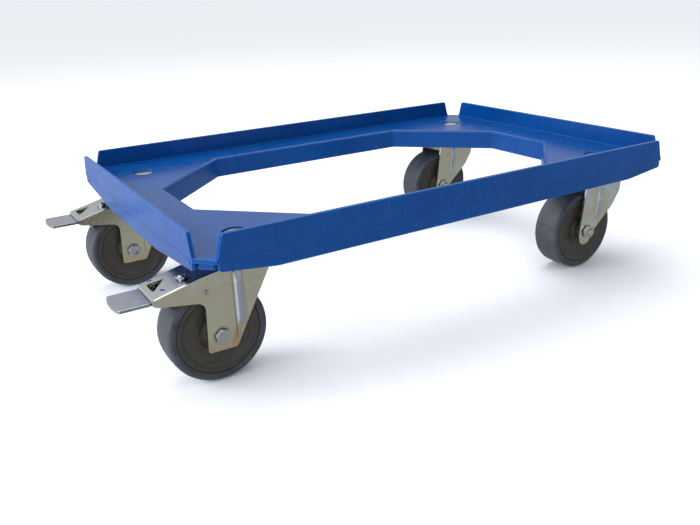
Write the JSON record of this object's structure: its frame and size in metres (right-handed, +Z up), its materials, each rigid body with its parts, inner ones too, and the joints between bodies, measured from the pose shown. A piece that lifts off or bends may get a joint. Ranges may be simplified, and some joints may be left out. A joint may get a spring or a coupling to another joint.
{
  "type": "container dolly",
  "caption": "Open-deck steel dolly with raised rims for stacking containers, on swivel castors, two of them braked by foot pedals.",
  "frame": {"origin": "on the floor under the middle of the whole object, brake pedals included", "axes": "+X along the deck towards the castors without a brake, +Z up"},
  "size_m": [0.675, 0.412, 0.1616],
  "materials": {
    "blue_enamel": "gloss",
    "zinc_plate": "zinc plated pressed steel",
    "bright_zinc": "bright zinc plated steel",
    "grey_rubber": "matt",
    "grey_plastic": "moulded"
  },
  "bodies": {
    "frame": {"deck_sheet": "blue_enamel", "skirt_front": "blue_enamel", "skirt_rear": "blue_enamel", "skirt_left": "blue_enamel", "skirt_right": "blue_enamel", "front_left_plate": "blue_enamel", "front_left_race": "zinc_plate", "front_left_ball_ring": "bright_zinc", "front_left_king_bolt": "bright_zinc", "front_left_king_nut": "bright_zinc", "rear_left_plate": "blue_enamel", "rear_left_race": "zinc_plate", "rear_left_ball_ring": "bright_zinc", "rear_left_king_bolt": "bright_zinc", "rear_left_king_nut": "bright_zinc", "front_right_plate": "blue_enamel", "front_right_race": "zinc_plate", "front_right_ball_ring": "bright_zinc", "front_right_king_bolt": "bright_zinc", "front_right_king_nut": "bright_zinc", "rear_right_plate": "blue_enamel", "rear_right_race": "zinc_plate", "rear_right_ball_ring": "bright_zinc", "rear_right_king_bolt": "bright_zinc", "rear_right_king_nut": "bright_zinc"},
    "front_left_castor": {"front_left_fork": "zinc_plate", "front_left_axle_bolt": "bright_zinc", "front_left_axle_nut": "bright_zinc", "front_left_bush": "bright_zinc", "front_left_pedal_pin": "bright_zinc", "front_left_adjuster": "bright_zinc"},
    "front_left_wheel": {"front_left_wheel_rim": "grey_plastic", "front_left_tyre": "grey_rubber"},
    "front_left_pedal": {"front_left_pedal": "zinc_plate"},
    "front_left_shoe": {"front_left_brake_shoe": "zinc_plate"},
    "rear_left_castor": {"rear_left_fork": "zinc_plate", "rear_left_axle_bolt": "bright_zinc", "rear_left_axle_nut": "bright_zinc", "rear_left_bush": "bright_zinc", "rear_left_pedal_pin": "bright_zinc", "rear_left_adjuster": "bright_zinc"},
    "rear_left_wheel": {"rear_left_wheel_rim": "grey_plastic", "rear_left_tyre": "grey_rubber"},
    "rear_left_pedal": {"rear_left_pedal": "zinc_plate"},
    "rear_left_shoe": {"rear_left_brake_shoe": "zinc_plate"},
    "front_right_castor": {"front_right_fork": "zinc_plate", "front_right_axle_bolt": "bright_zinc", "front_right_axle_nut": "bright_zinc", "front_right_bush": "bright_zinc"},
    "front_right_wheel": {"front_right_wheel_rim": "grey_plastic", "front_right_tyre": "grey_rubber"},
    "rear_right_castor": {"rear_right_fork": "zinc_plate", "rear_right_axle_bolt": "bright_zinc", "rear_right_axle_nut": "bright_zinc", "rear_right_bush": "bright_zinc"},
    "rear_right_wheel": {"rear_right_wheel_rim": "grey_plastic", "rear_right_tyre": "grey_rubber"}
  },
  "joints": [
    {"name": "front_left_swivel", "type": "hinge", "parent": "frame", "child": "front_left_castor", "pos_m": [-0.2145, -0.143, 0.116], "axis": [0, 0, 1], "continuous": true},
    {"name": "front_left_roll", "type": "hinge", "parent": "front_left_castor", "child": "front_left_wheel", "pos_m": [-0.2465, -0.143, 0.05], "axis": [0, 1, 0], "continuous": true},
    {"name": "front_left_pedal_press", "type": "hinge", "parent": "front_left_castor", "child": "front_left_pedal", "pos_m": [-0.2885, -0.143, 0.0941], "axis": [0, -1, 0], "range_deg": [0, 14]},
    {"name": "front_left_shoe_press", "type": "hinge", "parent": "front_left_castor", "child": "front_left_shoe", "pos_m": [-0.2575, -0.143, 0.096], "axis": [0, -1, 0], "range_deg": [0, 3.64]},
    {"name": "rear_left_swivel", "type": "hinge", "parent": "frame", "child": "rear_left_castor", "pos_m": [-0.2145, 0.143, 0.116], "axis": [0, 0, 1], "continuous": true},
    {"name": "rear_left_roll", "type": "hinge", "parent": "rear_left_castor", "child": "rear_left_wheel", "pos_m": [-0.2465, 0.143, 0.05], "axis": [0, 1, 0], "continuous": true},
    {"name": "rear_left_pedal_press", "type": "hinge", "parent": "rear_left_castor", "child": "rear_left_pedal", "pos_m": [-0.2885, 0.143, 0.0941], "axis": [0, -1, 0], "range_deg": [0, 14]},
    {"name": "rear_left_shoe_press", "type": "hinge", "parent": "rear_left_castor", "child": "rear_left_shoe", "pos_m": [-0.2575, 0.143, 0.096], "axis": [0, -1, 0], "range_deg": [0, 3.64]},
    {"name": "front_right_swivel", "type": "hinge", "parent": "frame", "child": "front_right_castor", "pos_m": [0.2775, -0.143, 0.116], "axis": [0, 0, 1], "continuous": true},
    {"name": "front_right_roll", "type": "hinge", "parent": "front_right_castor", "child": "front_right_wheel", "pos_m": [0.2455, -0.143, 0.05], "axis": [0, 1, 0], "continuous": true},
    {"name": "rear_right_swivel", "type": "hinge", "parent": "frame", "child": "rear_right_castor", "pos_m": [0.2775, 0.143, 0.116], "axis": [0, 0, 1], "continuous": true},
    {"name": "rear_right_roll", "type": "hinge", "parent": "rear_right_castor", "child": "rear_right_wheel", "pos_m": [0.2455, 0.143, 0.05], "axis": [0, 1, 0], "continuous": true}
  ],
  "couplings": [
    {"joint": "front_left_shoe_press", "follows": "front_left_pedal_press", "ratio": 0.26},
    {"joint": "rear_left_shoe_press", "follows": "rear_left_pedal_press", "ratio": 0.26}
  ]
}
